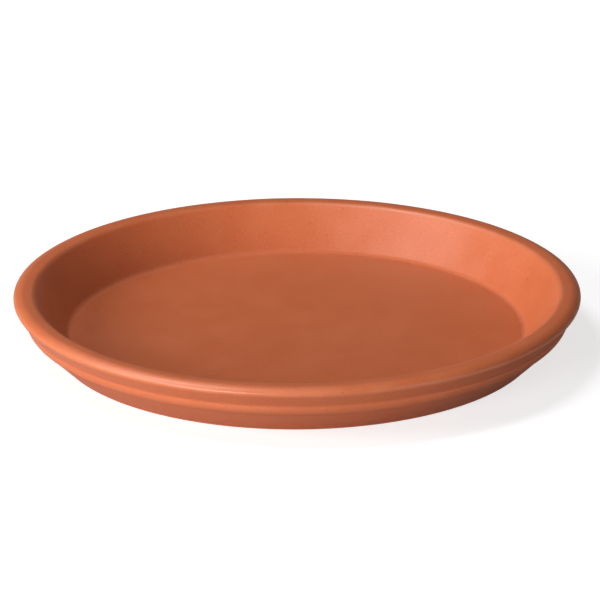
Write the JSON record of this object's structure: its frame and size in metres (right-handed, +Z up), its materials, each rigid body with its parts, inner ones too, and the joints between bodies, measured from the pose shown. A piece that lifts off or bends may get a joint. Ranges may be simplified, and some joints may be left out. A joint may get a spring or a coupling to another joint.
{
  "type": "plant saucer",
  "caption": "Round shallow saucer of unglazed terracotta with a flared wall, a beaded rim band and a flat floor, to stand under a plant pot and catch water.",
  "frame": {"origin": "middle of the foot ring, on the plane that the saucer stands on", "axes": "+Z up along the axis of revolution; +X and +Y are alike, since the saucer is round"},
  "size_m": [0.3, 0.3, 0.0308],
  "materials": {
    "terracotta": "matt unglazed fired clay"
  },
  "bodies": {
    "root": {"saucer": "terracotta"}
  },
  "joints": []
}
